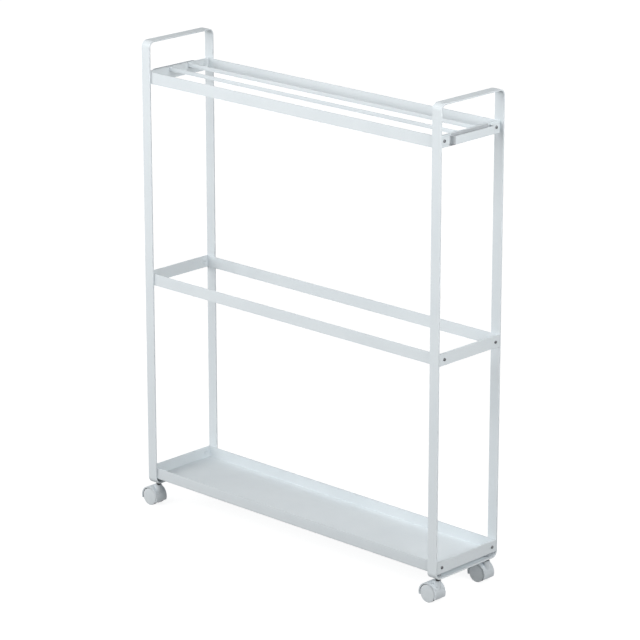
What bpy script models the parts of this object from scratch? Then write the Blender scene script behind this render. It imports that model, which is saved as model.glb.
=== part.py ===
"""Rolling pantry cart in metres, +Z up.

Two bent flat-bar end frames carry a slatted top shelf, an open middle frame and a bottom tray. Each
tier is screwed to cross plates in the end frames. A strap handle stands off each end, and four hooded
twin-wheel casters swivel under the corners.

+X runs along the cart and -Y is its front long side. The origin is on the floor, under the middle of
the cart's bounding box.
"""

import math

import bmesh
import bpy
from mathutils import Matrix, Vector

MM = 0.001
GAP = 0.3 * MM  # kept between pieces that touch
WELD = 0.01 * MM  # points closer than this are one

# Whole cart
CART_LENGTH = 664 * MM  # over both end frames
CART_DEPTH = 150 * MM
FRAME_HEIGHT = 782 * MM  # an end frame without its casters
CASTER_HEIGHT = 43 * MM  # floor to the underside of an end frame

# End frames: one flat bar each, bent to a closed loop
BAR_WIDTH = 19 * MM
BAR_THICK = 2.5 * MM
FRAME_CORNER = 11 * MM  # outer bend radius
PLATE_THICK = 2 * MM

# Tiers
TRAY_TOP = 73 * MM
TIER_PITCH = 350 * MM
RAIL_HEIGHT = 20 * MM
RAIL_THICK = 1.8 * MM
TRAY_THICK = 1.2 * MM
TOP_INSET = 7.5 * MM  # the top tier is shorter by this at each end
SLAT_HEIGHT = 6.5 * MM
SLAT_THICK = 2.5 * MM
SLAT_OFFSET = 22 * MM  # of each slat from the middle of the shelf
SLAT_DROP = 0.6 * MM

# Screws that hold each tier
SCREW_OFFSET = 61.5 * MM  # of each screw from the middle of the cart's depth
SCREW_RADIUS = 2.0 * MM
SCREW_HEAD_RADIUS = 2.6 * MM
SCREW_HEAD = 1.8 * MM
SCREW_RECESS_RADIUS = 1.3 * MM
SCREW_RECESS = 1.1 * MM
SCREW_TIP = 0.4 * MM  # past the end wall
SCREW_TIP_RADIUS = 1.4 * MM
SCREW_TIP_TAPER = 0.4 * MM
SCREW_DOME_RADIUS = 2.0 * MM  # flat top of the head
SCREW_DOME_EDGE = 0.8 * MM  # upright side of the head
SCREW_STEPS = 10
HOLE_STEPS = 12
BOSS_RADIUS = 4.0 * MM  # of the thread boss inside each end wall
BOSS_LENGTH = 1.2 * MM
DRILL_LENGTH = 60 * MM

# Strap handles
HANDLE_HEIGHT = 13.5 * MM
HANDLE_THICK = 1.6 * MM
HANDLE_STANDOFF = 12 * MM  # outer face of the grip from the face of the top plate
HANDLE_LENGTH = 96 * MM  # over the two legs
HANDLE_FOOT_END = 68.5 * MM  # of each foot's tip from the middle of the cart's depth
HANDLE_BEND = 3 * MM
BEND_STEPS = 5
HANDLE_LIFT = 1.2 * MM  # of the strap's centre line above the plate's

# Casters
STEM_OFFSET = 60 * MM  # of each stem from the middle of the cart's depth
TRAIL = 12 * MM  # from the stem's axis back to the axle
WHEEL_RADIUS = 15 * MM
WHEEL_INNER = 2.9 * MM  # inner face of a wheel from the caster's middle plane
WHEEL_WIDTH = 9.8 * MM
WHEEL_STEPS = 20
FACE_RADIUS = 12 * MM  # nearly flat middle of a wheel's outer face
FACE_CROWN = 0.2 * MM
SHOULDER_RADIUS = 14.25 * MM
SHOULDER_DROP = 0.9 * MM
TREAD_DROP = 2 * MM  # of the tread's outer edge from the face
TREAD_BEVEL = 0.8 * MM  # at the tread's inner edge
RIM_RADIUS = 11.7 * MM  # inside of the tread, on the wheel's inner side
RIM_DEPTH = 6.4 * MM
HUB_RADIUS = 4.5 * MM
HUB_BORE_DEPTH = 8.4 * MM
HOOD_RADIUS = 18.4 * MM
HOOD_WALL = 1.8 * MM
HOOD_WIDTH = 26 * MM
HOOD_START = math.radians(-22)  # lower front edge, measured at the axle from +X upwards
HOOD_END = math.radians(195)  # lower back edge
HOOD_STEPS = 12
WEB_WIDTH = 5 * MM
NECK_TOP = 37.5 * MM
NECK_RADIUS = 5.5 * MM
NECK_FOOT = 24 * MM
NECK_STEPS = 16
GUSSET_WIDTH = 7 * MM
GUSSET_TOP = 36.9 * MM
GUSSET_REACH = (-4.4 * MM, 3.3 * MM)  # its top edge, from the stem's axis along X
GUSSET_FOOT = math.radians(15), math.radians(60)  # where it joins the hood in front of the stem
GUSSET_RISE = math.radians(70), math.radians(98)  # and behind it
GUSSET_STEPS = 4
WELL_STEPS = 28
BORE_RADIUS = 3.3 * MM
BORE_FLOOR = 29 * MM
BORE_OVERRUN = 2 * MM
STEM_RADIUS = 3 * MM
STEM_TOP = 51.6 * MM
STEM_END = 29.5 * MM
STEM_BEVEL = 0.5 * MM
GROOVE_FLOOR = 32 * MM  # of the grip ring's groove in the stem
GROOVE_HEIGHT = 1 * MM
GROOVE_DEPTH = 0.6 * MM
COLLAR_RADIUS = 4.4 * MM
COLLAR_THICK = 1.6 * MM
AXLE_RADIUS = 2 * MM
AXLE_LENGTH = 22 * MM
NUT_FLATS = 10 * MM
NUT_HEIGHT = 5 * MM

# Worked out from the above
LEFT_OVERHANG = TRAIL + HOOD_RADIUS - BAR_WIDTH / 2  # hood past the left end frame
RIGHT_OVERHANG = HANDLE_STANDOFF - TOP_INSET  # handle past the right end frame
CART_MIDDLE = (LEFT_OVERHANG - RIGHT_OVERHANG) / 2  # x of the middle between the end frames
INNER_HALF_DEPTH = CART_DEPTH / 2 - BAR_THICK - GAP  # outer half depth of every tier
TIER_TOPS = {"top": TRAY_TOP + 2 * TIER_PITCH, "middle": TRAY_TOP + TIER_PITCH, "bottom": TRAY_TOP}
TIER_WALLS = {"top": RAIL_THICK, "middle": RAIL_THICK, "bottom": TRAY_THICK}
ENDS = {"left": -1, "right": 1}
SIDES = {"front": -1, "back": 1}

MATERIALS = {
    "powder_coat": ((0.79, 0.83, 0.86), 0.42, 0.0),
    "screw_steel": ((0.30, 0.31, 0.33), 0.35, 1.0),
    "zinc": ((0.62, 0.64, 0.66), 0.32, 1.0),
    "stem_steel": ((0.06, 0.06, 0.065), 0.38, 1.0),
    "caster_plastic": ((0.66, 0.69, 0.71), 0.38, 0.0),
    "wheel_plastic": ((0.70, 0.73, 0.75), 0.36, 0.0),
}


def clear_scene():
    """Removes every object, so the script starts from nothing."""
    for item in list(bpy.data.objects):
        bpy.data.objects.remove(item, do_unlink=True)


def new_collection(name):
    made = bpy.data.collections.new(name)
    bpy.context.scene.collection.children.link(made)
    return made


clear_scene()
CART = new_collection("rolling_pantry_cart")
CUTTERS = new_collection("cutters")


def material(name):
    """The material called name, made on its first use."""
    found = bpy.data.materials.get(name)
    if found:
        return found
    color, roughness, metallic = MATERIALS[name]
    made = bpy.data.materials.new(name)
    made.use_nodes = True
    shader = made.node_tree.nodes["Principled BSDF"]
    shader.inputs["Base Color"].default_value = (*color, 1)
    shader.inputs["Roughness"].default_value = roughness
    shader.inputs["Metallic"].default_value = metallic
    return made


def part_object(name, mesh, finish, location=(0, 0, 0), parent=None):
    """A named part of the cart, with a material of its own."""
    made = bpy.data.objects.new(name, mesh)
    own = material(finish).copy()
    own.name = f"{name}_{finish}"
    if not mesh.materials:
        mesh.materials.append(None)
    made.material_slots[0].link = "OBJECT"
    made.material_slots[0].material = own
    made.location = location
    made.parent = parent
    CART.objects.link(made)
    return made


def smooth(mesh, angle=30):
    mesh.shade_smooth()
    mesh.set_sharp_from_angle(angle=math.radians(angle))


def box_mesh(name, size):
    """A box of the given size, centred on its own origin."""
    mesh = bpy.data.meshes.new(name)
    shape = bmesh.new()
    bmesh.ops.create_cube(shape, size=1)
    bmesh.ops.scale(shape, vec=size, verts=shape.verts)
    shape.to_mesh(mesh)
    shape.free()
    return mesh


def cylinder_mesh(name, radius, length, steps, axis="Z"):
    """A solid cylinder, centred on its own origin."""
    turn = {"X": Matrix.Rotation(math.pi / 2, 3, "Y"), "Y": Matrix.Rotation(math.pi / 2, 3, "X")}
    mesh = bpy.data.meshes.new(name)
    shape = bmesh.new()
    bmesh.ops.create_cone(
        shape, cap_ends=True, segments=steps, radius1=radius, radius2=radius, depth=length
    )
    if axis in turn:
        bmesh.ops.rotate(shape, matrix=turn[axis], verts=shape.verts)
    shape.to_mesh(mesh)
    shape.free()
    smooth(mesh)
    return mesh


def outline_mesh(name, points, thickness):
    """A flat outline in the XZ plane with its thickness along Y, made from a filled 2D curve."""
    data = bpy.data.curves.new(name, "CURVE")
    data.dimensions = "2D"
    data.fill_mode = "BOTH"
    data.extrude = thickness / 2
    line = data.splines.new("POLY")
    line.points.add(len(points) - 1)
    for place, (x, z) in zip(line.points, points):
        place.co = (x, z, 0, 1)
    line.use_cyclic_u = True
    mesh = curve_to_mesh(data)
    mesh.transform(Matrix.Rotation(math.pi / 2, 4, "X"))
    return mesh


def curve_to_mesh(data):
    """A curve's evaluated surface as a welded mesh. The curve itself is removed."""
    carrier = bpy.data.objects.new(data.name, data)
    bpy.context.scene.collection.objects.link(carrier)
    bpy.context.view_layer.update()
    evaluated = carrier.evaluated_get(bpy.context.evaluated_depsgraph_get())
    mesh = bpy.data.meshes.new_from_object(evaluated)
    mesh.name = data.name
    bpy.data.objects.remove(carrier, do_unlink=True)
    shape = bmesh.new()
    shape.from_mesh(mesh)
    bmesh.ops.remove_doubles(shape, verts=shape.verts, dist=WELD)
    shape.to_mesh(mesh)
    shape.free()
    mesh.shade_flat()
    return mesh


def rounded(points, radius, steps, closed):
    """The polyline with each corner, or each inner corner of an open one, turned into an arc."""
    corners = [Vector(p) for p in points]
    count = len(corners)
    path = []
    for i, corner in enumerate(corners):
        if not closed and i in (0, count - 1):
            path.append(corner)
            continue
        before = (corners[i - 1] - corner).normalized()
        after = (corners[(i + 1) % count] - corner).normalized()
        half = before.angle(after) / 2
        centre = corner + (before + after).normalized() * radius / math.sin(half)
        start = corner + before * radius / math.tan(half) - centre
        end = corner + after * radius / math.tan(half) - centre
        sweep = start.angle_signed(end)
        for step in range(steps + 1):
            turn = Matrix.Rotation(-sweep * step / steps, 2)
            path.append(centre + turn @ start)
    return path


def strip_mesh(name, path, width, closed):
    """A ribbon of the given width: the path is in the XY plane and the ribbon stands along Z."""
    data = bpy.data.curves.new(name, "CURVE")
    data.dimensions = "2D"
    data.fill_mode = "NONE"
    data.extrude = width / 2
    line = data.splines.new("POLY")
    line.points.add(len(path) - 1)
    for place, (x, y) in zip(line.points, path):
        place.co = (x, y, 0, 1)
    line.use_cyclic_u = closed
    return curve_to_mesh(data)


def add_thickness(item, thickness):
    wall = item.modifiers.new("bar thickness", "SOLIDIFY")
    wall.thickness = thickness
    wall.offset = 0
    wall.use_even_offset = True


def turned_mesh(name, profile):
    """A turned profile as loose edges: (radius, height) points from the top, down the outer side."""
    mesh = bpy.data.meshes.new(name)
    edges = [(i, i + 1) for i in range(len(profile) - 1)]
    mesh.from_pydata([(radius, 0, height) for radius, height in profile], edges, [])
    return mesh


def spin(item, steps):
    """Turns an object's profile about its own Z axis."""
    turn = item.modifiers.new("turned profile", "SCREW")
    turn.steps = turn.render_steps = steps
    turn.use_merge_vertices = True
    turn.merge_threshold = WELD
    turn.use_smooth_shade = False


def cutter(name, mesh, location=(0, 0, 0), parent=None):
    made = bpy.data.objects.new(name, mesh)
    made.location = location
    made.parent = parent
    made.hide_render = True
    made.display_type = "WIRE"
    CUTTERS.objects.link(made)
    return made


def combine(item, other, operation):
    join = item.modifiers.new(f"{operation.lower()} {other.name}", "BOOLEAN")
    join.operation = operation
    join.solver = "EXACT"
    join.object = other


def drill_screw_holes():
    """One drill for each screw: it passes through the plate, the end wall and any handle foot."""
    made = {}
    hole = cylinder_mesh("screw_drill", SCREW_RADIUS + GAP, DRILL_LENGTH, HOLE_STEPS, "X")
    for end, x_sign in ENDS.items():
        for tier, top in TIER_TOPS.items():
            for side, y_sign in SIDES.items():
                place = (
                    CART_MIDDLE + x_sign * CART_LENGTH / 2,
                    y_sign * SCREW_OFFSET,
                    screw_height(tier, top),
                )
                made[end, tier, side] = cutter(f"drill_{end}_{tier}_{side}", hole, place)
    return made


def screw_height(tier, top):
    """The screws of the top tier sit on the handles' centre line, a little above the plate's."""
    lift = HANDLE_LIFT if tier == "top" else 0
    return top - RAIL_HEIGHT / 2 + lift


def inset(tier):
    return TOP_INSET if tier == "top" else 0


def make_end_frame(end, x_sign):
    """A flat bar bent to a closed loop, with a hole for each caster stem."""
    half_depth = (CART_DEPTH - BAR_THICK) / 2
    low = CASTER_HEIGHT + BAR_THICK / 2
    high = CASTER_HEIGHT + FRAME_HEIGHT - BAR_THICK / 2
    corners = [(-half_depth, low), (half_depth, low), (half_depth, high), (-half_depth, high)]
    path = rounded(corners, FRAME_CORNER - BAR_THICK / 2, 8, True)
    mesh = strip_mesh(f"{end}_end_frame", path, BAR_WIDTH, True)
    mesh.transform(Matrix(((0, 0, 1, 0), (1, 0, 0, 0), (0, 1, 0, 0), (0, 0, 0, 1))))
    x_centre = CART_MIDDLE + x_sign * (CART_LENGTH - BAR_WIDTH) / 2
    frame = part_object(f"{end}_end_frame", mesh, "powder_coat", (x_centre, 0, 0))
    add_thickness(frame, BAR_THICK)
    hole = cylinder_mesh("stem_drill", STEM_RADIUS + GAP, 3 * BAR_THICK, HOLE_STEPS)
    for side, y_sign in SIDES.items():
        place = (x_centre, y_sign * STEM_OFFSET, CASTER_HEIGHT + BAR_THICK / 2)
        combine(frame, cutter(f"stem_drill_{end}_{side}", hole, place), "DIFFERENCE")


def make_cross_plate(end, x_sign, tier, top, drills):
    """The plate between an end frame's uprights that one tier is screwed to."""
    size = (PLATE_THICK, 2 * INNER_HALF_DEPTH, RAIL_HEIGHT)
    x = CART_MIDDLE + x_sign * (CART_LENGTH / 2 - inset(tier) - PLATE_THICK / 2)
    name = f"{end}_{tier}_plate"
    plate = part_object(
        name, box_mesh(name, size), "powder_coat", (x, 0, top - RAIL_HEIGHT / 2)
    )
    for side in SIDES:
        combine(plate, drills[end, tier, side], "DIFFERENCE")


def tier_half_length(tier):
    """Outer half length of a tier, which fits between the cross plates."""
    return CART_LENGTH / 2 - inset(tier) - PLATE_THICK - GAP


def make_rails(tier, top):
    """The two long rails of an open tier."""
    size = (2 * tier_half_length(tier), RAIL_THICK, RAIL_HEIGHT)
    for side, y_sign in SIDES.items():
        name = f"{tier}_{side}_rail"
        y = y_sign * (INNER_HALF_DEPTH - RAIL_THICK / 2)
        part_object(
            name, box_mesh(name, size), "powder_coat", (CART_MIDDLE, y, top - RAIL_HEIGHT / 2)
        )


def make_end_wall(end, x_sign, tier, top, drills):
    """The end of a tier, between its long sides, with a thread boss behind each screw."""
    name = f"{tier}_{end}_end_wall"
    wall = TIER_WALLS[tier]
    bottom = top - RAIL_HEIGHT
    if tier == "bottom":
        bottom += TRAY_THICK + GAP
    size = (wall, 2 * (INNER_HALF_DEPTH - wall - GAP), top - bottom)
    x = CART_MIDDLE + x_sign * (tier_half_length(tier) - wall / 2)
    piece = part_object(name, box_mesh(name, size), "powder_coat", (x, 0, (top + bottom) / 2))
    add_thread_bosses(piece, end, tier, top, wall)
    for side in SIDES:
        combine(piece, drills[end, tier, side], "DIFFERENCE")


def add_thread_bosses(item, end, tier, top, wall):
    """Short round bosses on the inner face of an end wall, joined to it."""
    x_sign = ENDS[end]
    boss = cylinder_mesh("thread_boss", BOSS_RADIUS, BOSS_LENGTH + wall / 2, HOLE_STEPS, "X")
    inner = tier_half_length(tier) - wall
    x = CART_MIDDLE + x_sign * (inner - BOSS_LENGTH / 2 + wall / 4)
    for side, y_sign in SIDES.items():
        place = (x, y_sign * SCREW_OFFSET, screw_height(tier, top))
        combine(item, cutter(f"boss_{end}_{tier}_{side}", boss, place), "UNION")


def make_slats(top):
    """Two thin bars on edge that run the length of the top shelf."""
    half = tier_half_length("top") - RAIL_THICK - GAP
    size = (2 * half, SLAT_THICK, SLAT_HEIGHT)
    for side, y_sign in SIDES.items():
        name = f"top_{side}_slat"
        place = (CART_MIDDLE, y_sign * SLAT_OFFSET, top - SLAT_DROP - SLAT_HEIGHT / 2)
        part_object(name, box_mesh(name, size), "powder_coat", place)


def make_tray(top):
    """The tray's floor and long sides, folded from one sheet."""
    size = (2 * tier_half_length("bottom"), 2 * INNER_HALF_DEPTH, RAIL_HEIGHT)
    mesh = box_mesh("tray", size)
    shape = bmesh.new()
    shape.from_mesh(mesh)
    gone = [face for face in shape.faces if face.normal.z > 0.5 or abs(face.normal.x) > 0.5]
    bmesh.ops.delete(shape, geom=gone, context="FACES")
    shape.to_mesh(mesh)
    shape.free()
    tray = part_object("tray", mesh, "powder_coat", (CART_MIDDLE, 0, top - RAIL_HEIGHT / 2))
    sheet = tray.modifiers.new("sheet thickness", "SOLIDIFY")
    sheet.thickness = TRAY_THICK
    sheet.offset = -1
    sheet.use_even_offset = True


def make_handle(end, x_sign, drills):
    """A bent strap that stands off the top plate, held by the top tier's screws."""
    out = HANDLE_STANDOFF - HANDLE_THICK / 2
    foot = HANDLE_THICK / 2 + GAP
    leg = (HANDLE_LENGTH - HANDLE_THICK) / 2
    points = [
        (foot, -HANDLE_FOOT_END),
        (foot, -leg),
        (out, -leg),
        (out, leg),
        (foot, leg),
        (foot, HANDLE_FOOT_END),
    ]
    path = [(x_sign * x, y) for x, y in rounded(points, HANDLE_BEND, BEND_STEPS, False)]
    height = TIER_TOPS["top"] - RAIL_HEIGHT / 2 + HANDLE_LIFT
    x = CART_MIDDLE + x_sign * (CART_LENGTH / 2 - TOP_INSET)
    mesh = strip_mesh(f"{end}_handle", path, HANDLE_HEIGHT, False)
    handle = part_object(f"{end}_handle", mesh, "powder_coat", (x, 0, height))
    add_thickness(handle, HANDLE_THICK)
    for side in SIDES:
        combine(handle, drills[end, "top", side], "DIFFERENCE")


def screw_profile(grip):
    """A pan-head screw, head up: the head stands above z = 0 and the shank passes grip below it."""
    tip = grip + SCREW_TIP
    return [
        (0, SCREW_HEAD - SCREW_RECESS),
        (SCREW_RECESS_RADIUS, SCREW_HEAD - SCREW_RECESS),
        (SCREW_RECESS_RADIUS, SCREW_HEAD),
        (SCREW_DOME_RADIUS, SCREW_HEAD),
        (SCREW_HEAD_RADIUS, SCREW_DOME_EDGE),
        (SCREW_HEAD_RADIUS, 0),
        (SCREW_RADIUS, 0),
        (SCREW_RADIUS, SCREW_TIP_TAPER - tip),
        (SCREW_TIP_RADIUS, -tip),
        (0, -tip),
    ]


def make_screws():
    for tier, top in TIER_TOPS.items():
        wall = TIER_WALLS[tier]
        foot = HANDLE_THICK + GAP if tier == "top" else 0
        grip = GAP + foot + PLATE_THICK + GAP + wall + BOSS_LENGTH
        mesh = turned_mesh(f"{tier}_screw", screw_profile(grip))
        for end, x_sign in ENDS.items():
            x = CART_MIDDLE + x_sign * (CART_LENGTH / 2 - inset(tier) + foot + GAP)
            for side, y_sign in SIDES.items():
                place = (x, y_sign * SCREW_OFFSET, screw_height(tier, top))
                screw = part_object(f"{tier}_{end}_{side}_screw", mesh, "screw_steel", place)
                screw.rotation_euler = (0, x_sign * math.pi / 2, 0)
                spin(screw, SCREW_STEPS)


def stem_profile():
    """A caster stem, top down: thread end, collar under the frame, then the grip-ring groove."""
    under = CASTER_HEIGHT - GAP
    groove_top = GROOVE_FLOOR + GROOVE_HEIGHT
    return [
        (0, STEM_TOP),
        (STEM_RADIUS - STEM_BEVEL, STEM_TOP),
        (STEM_RADIUS, STEM_TOP - STEM_BEVEL),
        (STEM_RADIUS, under),
        (COLLAR_RADIUS, under),
        (COLLAR_RADIUS, under - COLLAR_THICK),
        (STEM_RADIUS, under - COLLAR_THICK),
        (STEM_RADIUS, groove_top),
        (STEM_RADIUS - GROOVE_DEPTH, groove_top),
        (STEM_RADIUS - GROOVE_DEPTH, GROOVE_FLOOR),
        (STEM_RADIUS, GROOVE_FLOOR),
        (STEM_RADIUS, STEM_END),
        (0, STEM_END),
    ]


def wheel_profile():
    """A caster wheel from its closed outer face, over the tread, to the blind hub bore."""
    hole = AXLE_RADIUS + GAP
    return [
        (0, WHEEL_WIDTH),
        (FACE_RADIUS, WHEEL_WIDTH - FACE_CROWN),
        (SHOULDER_RADIUS, WHEEL_WIDTH - SHOULDER_DROP),
        (WHEEL_RADIUS, WHEEL_WIDTH - TREAD_DROP),
        (WHEEL_RADIUS, TREAD_BEVEL),
        (SHOULDER_RADIUS, 0),
        (RIM_RADIUS, 0),
        (RIM_RADIUS, RIM_DEPTH),
        (HUB_RADIUS, RIM_DEPTH),
        (HUB_RADIUS, 0),
        (hole, 0),
        (hole, HUB_BORE_DEPTH),
        (0, HUB_BORE_DEPTH),
    ]


def arc(radius, start, end, steps):
    """Points of an arc about the axle, in the caster's XZ plane."""
    return [
        (
            -TRAIL + radius * math.cos(start + (end - start) * step / steps),
            WHEEL_RADIUS + radius * math.sin(start + (end - start) * step / steps),
        )
        for step in range(steps + 1)
    ]


def make_housing(name, swivel):
    """The swivelling caster body: a curved hood over both wheels, a web between them and a neck
    that turns on the stem."""
    middle = HOOD_RADIUS - HOOD_WALL / 2
    mesh = strip_mesh(name, arc(middle, HOOD_START, HOOD_END, HOOD_STEPS), HOOD_WIDTH, False)
    mesh.transform(Matrix.Rotation(math.pi / 2, 4, "X"))
    housing = part_object(name, mesh, "caster_plastic", parent=swivel)
    add_thickness(housing, HOOD_WALL)

    web = outline_mesh(f"{name}_web", arc(middle, HOOD_START, HOOD_END, HOOD_STEPS), WEB_WIDTH)
    combine(housing, cutter(f"{name}_web", web, parent=swivel), "UNION")

    foot = arc(middle, *GUSSET_FOOT, GUSSET_STEPS)
    rise = arc(middle, *GUSSET_RISE, GUSSET_STEPS)
    top = [(x, GUSSET_TOP) for x in GUSSET_REACH]
    gusset = outline_mesh(f"{name}_gusset", foot + rise + top, GUSSET_WIDTH)
    combine(housing, cutter(f"{name}_gusset", gusset, parent=swivel), "UNION")

    neck = cylinder_mesh(f"{name}_neck", NECK_RADIUS, NECK_TOP - NECK_FOOT, NECK_STEPS)
    place = (0, 0, (NECK_TOP + NECK_FOOT) / 2)
    combine(housing, cutter(f"{name}_neck", neck, place, swivel), "UNION")

    well_width = HOOD_WIDTH / 2
    well = cylinder_mesh(f"{name}_well", HOOD_RADIUS - HOOD_WALL, well_width, WELL_STEPS, "Y")
    for side, y_sign in SIDES.items():
        place = (-TRAIL, y_sign * (WEB_WIDTH / 2 + well_width / 2), WHEEL_RADIUS)
        combine(housing, cutter(f"{name}_well_{side}", well, place, swivel), "DIFFERENCE")

    bore_length = NECK_TOP - BORE_FLOOR + BORE_OVERRUN
    bore = cylinder_mesh(f"{name}_bore", BORE_RADIUS, bore_length, HOLE_STEPS)
    place = (0, 0, BORE_FLOOR + bore_length / 2)
    combine(housing, cutter(f"{name}_bore", bore, place, swivel), "DIFFERENCE")

    hole = cylinder_mesh(f"{name}_axle_hole", AXLE_RADIUS + GAP, 2 * WEB_WIDTH, HOLE_STEPS, "Y")
    place = (-TRAIL, 0, WHEEL_RADIUS)
    combine(housing, cutter(f"{name}_axle_hole", hole, place, swivel), "DIFFERENCE")


def make_nut(name, place):
    """A hexagon nut on the stem, on top of the frame's bottom run."""
    mesh = cylinder_mesh(name, NUT_FLATS / math.sqrt(3), NUT_HEIGHT, 6)
    nut = part_object(name, mesh, "zinc", place)
    hole = cylinder_mesh(f"{name}_thread", STEM_RADIUS + GAP, 2 * NUT_HEIGHT, HOLE_STEPS)
    combine(nut, cutter(f"{name}_thread", hole, place), "DIFFERENCE")


def make_caster(corner, x, y):
    """One swivel caster. The swivel empty is on the stem's axis and the axle empty on the axle's."""
    stem = turned_mesh(f"{corner}_caster_stem", stem_profile())
    spin(part_object(f"{corner}_caster_stem", stem, "stem_steel", (x, y, 0)), HOLE_STEPS)
    nut_height = CASTER_HEIGHT + BAR_THICK + GAP + NUT_HEIGHT / 2
    make_nut(f"{corner}_stem_nut", (x, y, nut_height))

    swivel = bpy.data.objects.new(f"{corner}_swivel", None)
    swivel.location = (x, y, 0)
    CART.objects.link(swivel)
    make_housing(f"{corner}_caster_housing", swivel)

    axle_line = bpy.data.objects.new(f"{corner}_axle_line", None)
    axle_line.parent = swivel
    axle_line.location = (-TRAIL, 0, WHEEL_RADIUS)
    CART.objects.link(axle_line)
    axle = cylinder_mesh(f"{corner}_caster_axle", AXLE_RADIUS, AXLE_LENGTH, HOLE_STEPS, "Y")
    part_object(f"{corner}_caster_axle", axle, "zinc", parent=axle_line)
    for side, y_sign in SIDES.items():
        name = f"{corner}_caster_{side}_wheel"
        mesh = turned_mesh(name, wheel_profile())
        place = (0, y_sign * WHEEL_INNER, 0)
        wheel = part_object(name, mesh, "wheel_plastic", place, axle_line)
        wheel.rotation_euler = (-y_sign * math.pi / 2, 0, 0)
        spin(wheel, WHEEL_STEPS)


def make_cart():
    drills = drill_screw_holes()
    for end, x_sign in ENDS.items():
        make_end_frame(end, x_sign)
        for tier, top in TIER_TOPS.items():
            make_cross_plate(end, x_sign, tier, top, drills)
            make_end_wall(end, x_sign, tier, top, drills)
        make_handle(end, x_sign, drills)
        x = CART_MIDDLE + x_sign * (CART_LENGTH - BAR_WIDTH) / 2
        for side, y_sign in SIDES.items():
            make_caster(f"{end}_{side}", x, y_sign * STEM_OFFSET)
    for tier in ("top", "middle"):
        make_rails(tier, TIER_TOPS[tier])
    make_slats(TIER_TOPS["top"])
    make_tray(TIER_TOPS["bottom"])
    make_screws()


make_cart()
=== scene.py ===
# %% [markdown]
# # A slim rolling pantry cart
#
# This lesson dresses a ready CAD model of a kitchen cart. The cart is steel strip, bent and
# screwed together, under a cool white powder coat: two end frames, a slatted top shelf, an open
# middle frame, a shallow tray, two strap handles and four twin-wheel casters. The CAD gives every
# size and place. Each piece is made again here with the rounded edges, bends and threads that the
# CAD leaves out.

# %% Load the frame and keep its box
import math

import bpy
from mathutils import Matrix, Vector


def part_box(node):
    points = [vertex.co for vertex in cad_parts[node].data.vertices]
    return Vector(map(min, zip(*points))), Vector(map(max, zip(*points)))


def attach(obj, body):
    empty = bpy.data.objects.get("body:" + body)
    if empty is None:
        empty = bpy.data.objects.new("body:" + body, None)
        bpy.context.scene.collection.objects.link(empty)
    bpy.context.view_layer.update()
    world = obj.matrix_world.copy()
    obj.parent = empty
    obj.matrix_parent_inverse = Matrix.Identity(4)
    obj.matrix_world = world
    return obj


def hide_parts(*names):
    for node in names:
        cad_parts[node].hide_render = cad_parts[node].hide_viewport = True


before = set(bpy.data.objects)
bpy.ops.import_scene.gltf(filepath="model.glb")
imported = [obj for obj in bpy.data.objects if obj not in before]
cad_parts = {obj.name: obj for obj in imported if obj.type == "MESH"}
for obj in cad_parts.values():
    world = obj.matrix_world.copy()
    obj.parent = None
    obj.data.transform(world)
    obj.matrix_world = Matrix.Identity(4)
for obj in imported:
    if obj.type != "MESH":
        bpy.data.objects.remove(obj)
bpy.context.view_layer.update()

MM = 0.001
ENDS = {"left": -1, "right": 1}
SIDES = {"front": -1, "back": 1}

# %% [markdown]
# A camera comes first, because it decides how much detail is seen. A long lens from far away keeps
# the uprights nearly parallel and the two ends nearly the same size. The other way is a short lens
# close by, which would make the near end look much larger than the far one.

# %% Camera
CAMERA_PLACE = Vector((3.4742, -3.6558, 1.9694))
CAMERA_AIM = Vector((0.0138, 0.0, 0.3936))
LENS = 180

bpy.ops.object.select_all(action="DESELECT")
bpy.ops.object.camera_add(location=CAMERA_PLACE)
camera = bpy.context.object
camera.name = "studio_camera"
camera.data.lens = LENS
camera.rotation_euler = (CAMERA_AIM - CAMERA_PLACE).to_track_quat("-Z", "Y").to_euler()
bpy.context.scene.camera = camera
print("camera is", round((CAMERA_AIM - CAMERA_PLACE).length, 2), "m away")

# %% [markdown]
# Every piece starts as a primitive that is added at its real size and place. Applying the
# transform puts the place into the mesh and leaves the object at the origin, where patterns in
# object coordinates stay still. Anything left selected would be changed too, so a helper clears it
# first.

# %% Helpers that start a piece
def clear_selection():
    if bpy.context.object and bpy.context.object.mode != "OBJECT":
        bpy.ops.object.mode_set(mode="OBJECT")
    bpy.ops.object.select_all(action="DESELECT")


def select_only(piece):
    clear_selection()
    piece.select_set(True)
    bpy.context.view_layer.objects.active = piece


def named(name):
    """Names the piece just added and puts its place into its mesh."""
    piece = bpy.context.object
    piece.name = piece.data.name = name
    bpy.ops.object.transform_apply(location=True, rotation=True, scale=True)
    return piece


def block(name, low, high):
    """A box from its lowest to its highest corner."""
    clear_selection()
    low, high = Vector(low), Vector(high)
    bpy.ops.mesh.primitive_cube_add(size=1, location=(low + high) / 2, scale=high - low)
    return named(name)


TURNS = {"X": (0, math.pi / 2, 0), "Y": (math.pi / 2, 0, 0), "Z": (0, 0, 0)}


def rod(name, centre, radius, length, axis="Z", sides=48):
    """A round bar along one axis."""
    clear_selection()
    bpy.ops.mesh.primitive_cylinder_add(
        vertices=sides, radius=radius, depth=length, location=centre, rotation=TURNS[axis]
    )
    return named(name)


# %% [markdown]
# In edit mode an operator acts on what is selected. With no hand on the mouse, faces and edges are
# picked by where they are or which way they look. Modifiers do the rest: one is added, its values
# are set, and it is applied at once, so the mesh that shows is the mesh that is kept.

# %% Helpers that pick and finish
def start_edit(piece, kind):
    select_only(piece)
    bpy.ops.object.mode_set(mode="EDIT")
    bpy.ops.mesh.select_mode(type=kind)
    bpy.ops.mesh.select_all(action="DESELECT")


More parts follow.
